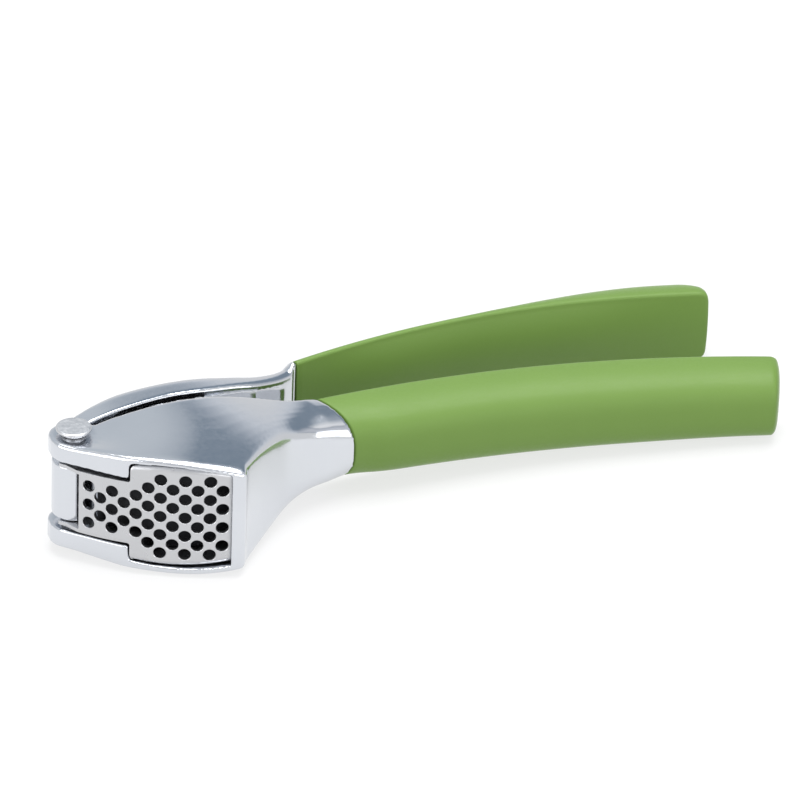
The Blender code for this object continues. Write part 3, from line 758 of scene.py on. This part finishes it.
def pivot_pin():
    """Headed pin: low domed head on a short neck, plain shank, reduced tail."""
    ear = frame_half(0)
    under = -ear - FRAME_UNDER
    top, rim = PIN_HEAD_TOP, PIN_HEAD_RADIUS - PIN_HEAD_EDGE
    profile = [(0.0, top), (2.0, top - 0.005), (rim - 0.15, top - 0.015)]
    for degrees in range(0, 161, 20):
        turn = math.radians(degrees)
        profile.append((rim + PIN_HEAD_EDGE * math.sin(turn), top - 0.52 + 0.5 * math.cos(turn)))
    profile += [
        (PIN_NECK_RADIUS, top - 1.25),
        (PIN_NECK_RADIUS, ear + REST_GAP),
        (PIN_RADIUS, ear + REST_GAP),
        (PIN_RADIUS, under - 0.1),
        (TAIL_RADIUS, under - 0.1),
        (TAIL_RADIUS, under - 0.75),
        (TAIL_RADIUS - 0.15, under - 0.9),
        (0.0, under - 0.9),
    ]
    body = new_object("pivot_pin_skin", turned(profile, steps=PIN_STEPS))
    return placed(body, "frame", "pivot_pin", 32)


def tail_washer():
    """Washer on the pin's tail, under the frame, with a rounded lower rim."""
    under = -frame_half(0) - FRAME_UNDER
    profile = [(TAIL_RADIUS + 0.1, under - REST_GAP), (WASHER_RADIUS - 0.1, under - REST_GAP)]
    profile += [(WASHER_RADIUS, under - REST_GAP - 0.1), (WASHER_RADIUS, under - 0.7)]
    for degrees in (30, 60, 90):
        turn = math.radians(degrees)
        radius = WASHER_RADIUS - WASHER_EDGE * (1 - math.cos(turn))
        profile.append((radius, under - 0.7 - WASHER_EDGE * math.sin(turn)))
    profile += [(TAIL_RADIUS + 0.25, under - 0.95), (TAIL_RADIUS + 0.1, under - 0.8)]
    body = new_object("pin_tail_washer_skin", turned(profile, steps=PIN_STEPS))
    return placed(body, "frame", "pin_tail_washer", 32)


def foot_pin():
    """Cross pin of the foot, with rounded ends."""
    half = FOOT_PIN_HALF
    profile = [(0.0, half), (FOOT_PIN_RADIUS - 0.25, half), (FOOT_PIN_RADIUS - 0.07, half - 0.07)]
    profile.append((FOOT_PIN_RADIUS, half - 0.25))
    profile += [(radius, -z) for radius, z in reversed(profile)]
    bm = turned(profile, steps=72, centre=FOOT_PIN_PLACE)
    return placed(new_object("foot_pin_skin", bm), "plunger", "foot_pin", 32)


def mix_colour(nodes, links, low, high, factor):
    """A mix of two fixed colours by a node's output."""
    mix = nodes.new("ShaderNodeMix")
    mix.data_type = "RGBA"
    mix.inputs["A"].default_value = (*low, 1.0)
    mix.inputs["B"].default_value = (*high, 1.0)
    links.new(factor, mix.inputs["Factor"])
    return mix.outputs["Result"]


def noise(nodes, links, scale, detail=3.0, stretch=None):
    """Noise in object space, in cycles per metre, optionally stretched along an axis."""
    place = nodes.new("ShaderNodeTexCoord")
    source = place.outputs["Object"]
    if stretch:
        mapping = nodes.new("ShaderNodeMapping")
        mapping.inputs["Scale"].default_value = stretch
        links.new(source, mapping.inputs["Vector"])
        source = mapping.outputs["Vector"]
    texture = nodes.new("ShaderNodeTexNoise")
    texture.inputs["Scale"].default_value = scale
    texture.inputs["Detail"].default_value = detail
    links.new(source, texture.inputs["Vector"])
    return texture.outputs["Fac"]


def ranged(nodes, links, value, low, high):
    """Spreads the middle of a noise over the range from low to high."""
    spread = nodes.new("ShaderNodeMapRange")
    spread.inputs["From Min"].default_value = 0.3
    spread.inputs["From Max"].default_value = 0.7
    spread.inputs["To Min"].default_value = low
    spread.inputs["To Max"].default_value = high
    links.new(value, spread.inputs["Value"])
    return spread.outputs["Result"]


def bumps(nodes, links, heights, shader):
    """Chains (height, strength, depth in mm) bumps into the shader's normal."""
    normal = None
    for height, strength, depth in heights:
        bump = nodes.new("ShaderNodeBump")
        bump.inputs["Strength"].default_value = strength
        bump.inputs["Distance"].default_value = depth * MM
        links.new(height, bump.inputs["Height"])
        if normal:
            links.new(normal, bump.inputs["Normal"])
        normal = bump.outputs["Normal"]
    links.new(normal, shader.inputs["Normal"])


def start_material(name):
    mat = bpy.data.materials.new(name)
    mat.use_nodes = True
    tree = mat.node_tree
    return mat, tree.nodes, tree.links, tree.nodes["Principled BSDF"]


def metal(name, low, high, rough_low, rough_high, grain, wave):
    """Plated or tumbled metal: slight tone and gloss changes, fine grain and faint casting waves."""
    mat, nodes, links, shader = start_material(name)
    shader.inputs["Metallic"].default_value = 1.0
    cloud = noise(nodes, links, 90.0)
    links.new(mix_colour(nodes, links, low, high, cloud), shader.inputs["Base Color"])
    fine = noise(nodes, links, 900.0, 4.0, (1.0, 1.0, 0.35))
    links.new(ranged(nodes, links, fine, rough_low, rough_high), shader.inputs["Roughness"])
    speckle, ripple = noise(nodes, links, 3500.0, 2.0), noise(nodes, links, 160.0, 1.0)
    bumps(nodes, links, [(speckle, 0.25, grain), (ripple, 0.3, wave)], shader)
    return mat


def soft_green():
    """Soft-touch moulding: fine matt grain with slow changes of tone."""
    mat, nodes, links, shader = start_material("soft_touch_green")
    cloud = noise(nodes, links, 60.0, 2.0)
    colour = mix_colour(nodes, links, (0.11, 0.2, 0.033), (0.122, 0.216, 0.038), cloud)
    links.new(colour, shader.inputs["Base Color"])
    fine = noise(nodes, links, 1400.0, 3.0)
    links.new(ranged(nodes, links, fine, 0.46, 0.6), shader.inputs["Roughness"])
    shader.inputs["Specular IOR Level"].default_value = 0.4
    shader.inputs["Sheen Weight"].default_value = 0.3
    shader.inputs["Sheen Roughness"].default_value = 0.3
    bumps(nodes, links, [(noise(nodes, links, 5200.0, 2.0), 0.35, 0.03)], shader)
    return mat


def dress(obj, mat):
    obj.data.materials.clear()
    obj.data.materials.append(mat)


# Camera: a long lens at the photograph's angle, turned by the tilt at which the press rests. The
# floor is tilted to touch the chamber and the ends of both grips, and it glows a little, as the
# chrome's upright fronts reflect it.
VIEW_TURN = math.radians(-18.0)
VIEW_RISE = math.radians(31.0)
REST_TILT = math.radians(2.17)
FLOOR_TILT = math.radians(2.55)
FLOOR_GLOW = 0.72
FLOOR_TOUCH = 22.0
FLOOR_DROP = 0.32
CAMERA_DISTANCE = 1.6
FRAME_WIDTH = 800 / 4.2 * MM
AIM_RIGHT = 77.0 * MM
AIM_UP = 22.9 * MM


def stage_camera():
    """Camera at the photograph's viewing angle, far away with a long lens."""
    level = Vector((math.sin(VIEW_TURN), -math.cos(VIEW_TURN), 0.0))
    back = level * math.cos(VIEW_RISE) + Vector((0.0, 0.0, math.sin(VIEW_RISE)))
    right = Vector((math.cos(VIEW_TURN), math.sin(VIEW_TURN), 0.0))
    up = back.cross(right)
    aim = PIVOT + right * AIM_RIGHT + up * AIM_UP
    level_right = right * math.cos(REST_TILT) + up * math.sin(REST_TILT)
    level_up = back.cross(level_right)
    axes = Matrix((level_right, level_up, back)).transposed().to_4x4()
    lens = bpy.data.cameras.new("camera")
    camera = bpy.data.objects.new("camera", lens)
    bpy.context.scene.collection.objects.link(camera)
    camera.matrix_world = Matrix.Translation(aim + back * CAMERA_DISTANCE) @ axes
    lens.lens = lens.sensor_width * CAMERA_DISTANCE / FRAME_WIDTH
    lens.clip_end = 20.0
    bpy.context.scene.camera = camera


def stage_floor():
    """Large pale floor that touches the chamber's crown and the ends of the grips."""
    bm = bmesh.new()
    bmesh.ops.create_grid(bm, x_segments=2, y_segments=2, size=6.0)
    mesh = bpy.data.meshes.new("floor")
    bm.to_mesh(mesh)
    bm.free()
    floor = bpy.data.objects.new("floor", mesh)
    bpy.context.scene.collection.objects.link(floor)
    touch = PIVOT + Vector((FLOOR_TOUCH, 0.0, -FRAME_CROWN - FRAME_UNDER - FLOOR_DROP)) * MM
    floor.matrix_world = Matrix.Translation(touch) @ Matrix.Rotation(-FLOOR_TILT, 4, "Y")
    mat, _, _, shader = start_material("floor_white")
    shader.inputs["Base Color"].default_value = (0.2, 0.2, 0.2, 1.0)
    shader.inputs["Roughness"].default_value = 0.9
    shader.inputs["Specular IOR Level"].default_value = 0.0
    shader.inputs["Emission Color"].default_value = (1.0, 1.0, 1.0, 1.0)
    shader.inputs["Emission Strength"].default_value = FLOOR_GLOW
    dress(floor, mat)


def soft_box(name, place, size, power):
    """A white area light that faces the origin."""
    data = bpy.data.lights.new(name, "AREA")
    data.shape = "RECTANGLE"
    data.size, data.size_y = size
    data.energy = power
    lamp = bpy.data.objects.new(name, data)
    bpy.context.scene.collection.objects.link(lamp)
    lamp.location = place
    lamp.rotation_euler = (Vector(place) * -1).to_track_quat("-Z", "Y").to_euler()


def colour_ramp(nodes, links, value, stops):
    """A ramp through (position, colour) stops."""
    ramp = nodes.new("ShaderNodeValToRGB")
    marks = ramp.color_ramp.elements
    marks[0].position, marks[1].position = stops[0][0], stops[-1][0]
    marks[0].color, marks[1].color = (*stops[0][1], 1.0), (*stops[-1][1], 1.0)
    for position, colour in stops[1:-1]:
        marks.new(position).color = (*colour, 1.0)
    links.new(value, ramp.inputs["Fac"])
    return ramp.outputs["Color"]


def shifted(nodes, links, value, factor, offset):
    """Value times factor plus offset, kept between 0 and 1."""
    change = nodes.new("ShaderNodeMath")
    change.operation = "MULTIPLY_ADD"
    change.use_clamp = True
    change.inputs[1].default_value = factor
    change.inputs[2].default_value = offset
    links.new(value, change.inputs[0])
    return change.outputs["Value"]


def blended(nodes, links, factor, low, high):
    """A mix of two colour outputs by a node's output."""
    mix = nodes.new("ShaderNodeMix")
    mix.data_type = "RGBA"
    links.new(factor, mix.inputs["Factor"])
    links.new(low, mix.inputs["A"])
    links.new(high, mix.inputs["B"])
    return mix.outputs["Result"]


# Studio: place, size and power of the soft boxes, and the room's colours.
SOFT_BOXES = (
    ("top_box", (0.05, 0.0, 1.1), (1.0, 0.8), 15.0),
    ("left_box", (-1.1, -0.5, 0.45), (0.8, 0.7), 4.0),
    ("front_box", (0.5, -1.2, 0.5), (1.4, 0.6), 5.0),
)
ROOM_STRENGTH = 0.85
BRIGHT = (1.2, 1.2, 1.2)
WHITE = (1.0, 1.0, 1.0)
PALE = (0.9, 0.94, 1.0)
MIST = (0.78, 0.83, 0.88)
GREY = (0.8, 0.82, 0.87)
DUSK = (0.45, 0.5, 0.56)
SLATE = (0.3, 0.37, 0.45)

# What the chrome reflects, from straight down (0) over the horizon (0.5) to straight up (1):
# a dark flag behind the press, the open side left of it, and bright panels in front with thin
# dark lines between them.
FLAG = (
    (0.0, WHITE), (0.64, WHITE), (0.7, PALE), (0.75, SLATE), (0.86, SLATE), (0.94, MIST),
    (1.0, WHITE),
)
OPEN_SIDE = ((0.0, WHITE), (0.64, WHITE), (0.72, MIST), (0.86, MIST), (1.0, WHITE))
FRONT = (
    (0.0, WHITE), (0.69, WHITE), (0.71, DUSK), (0.73, GREY), (0.81, GREY), (0.83, DUSK),
    (0.85, BRIGHT), (0.92, BRIGHT), (0.94, DUSK), (0.96, WHITE), (1.0, WHITE),
)


def stage_lights():
    """Overhead and side boxes in a white room with a grey flag behind the press."""
    for name, place, size, power in SOFT_BOXES:
        soft_box(name, place, size, power)
    world = bpy.data.worlds.new("studio")
    bpy.context.scene.world = world
    world.use_nodes = True
    nodes, links = world.node_tree.nodes, world.node_tree.links
    place = nodes.new("ShaderNodeTexCoord")
    split = nodes.new("ShaderNodeSeparateXYZ")
    links.new(place.outputs["Generated"], split.inputs["Vector"])
    rise = shifted(nodes, links, split.outputs["Z"], 0.5, 0.5)
    flag = colour_ramp(nodes, links, rise, FLAG)
    open_side = colour_ramp(nodes, links, rise, OPEN_SIDE)
    front = colour_ramp(nodes, links, rise, FRONT)
    # Both factors run from 0 to 1 over a narrow band of directions: 11 to 16 degrees to the right,
    # and 10 degrees either side of the plane between front and back.
    to_right = shifted(nodes, links, split.outputs["X"], 11.0, -2.1)
    behind = shifted(nodes, links, split.outputs["Y"], 3.0, 0.5)
    rear = blended(nodes, links, to_right, open_side, flag)
    background = nodes["Background"]
    links.new(blended(nodes, links, behind, front, rear), background.inputs["Color"])
    background.inputs["Strength"].default_value = ROOM_STRENGTH


def main():
    stage_camera()
    # Metals: name, darkest and lightest tone, lowest and highest roughness, grain and wave in mm.
    chrome = metal("chrome_cast", (0.63, 0.65, 0.69), (0.68, 0.7, 0.735), 0.1, 0.17, 0.004, 0.02)
    satin = metal("satin_steel", (0.52, 0.525, 0.54), (0.58, 0.585, 0.6), 0.26, 0.38, 0.007, 0.01)
    stamped = metal("stamped_steel", (0.6, 0.605, 0.62), (0.67, 0.675, 0.69), 0.3, 0.45, 0.02, 0.01)
    # The foot's near-black tone is partly the casting's own dark grey and partly painted shade, which
    # darkens the sieve's holes as if the chamber's inside were in shadow.
    foot_painted_shade = metal("cast_foot", (0.03, 0.031, 0.035), (0.045, 0.046, 0.05), 0.45, 0.6, 0.03, 0.03)
    green = soft_green()
    dress(frame_casting(), chrome)
    dress(plunger_casting(), chrome)
    dress(pivot_pin(), stamped)
    dress(sieve_basket(), satin)
    dress(tail_washer(), satin)
    dress(foot_pin(), satin)
    dress(press_foot(), foot_painted_shade)
    dress(grip_skin("lower_grip", LOWER), green)
    dress(grip_skin("upper_grip", UPPER), green)
    finishes = {"cast_metal": chrome, "sieve_metal": satin, "foot_metal": foot_painted_shade, "soft_grip": green}
    for name, slot in SLOTS.items():
        dress(frame["nodes"][name], finishes[slot])
    stage_floor()
    stage_lights()
    bpy.context.scene.view_settings.view_transform = "Standard"


main()
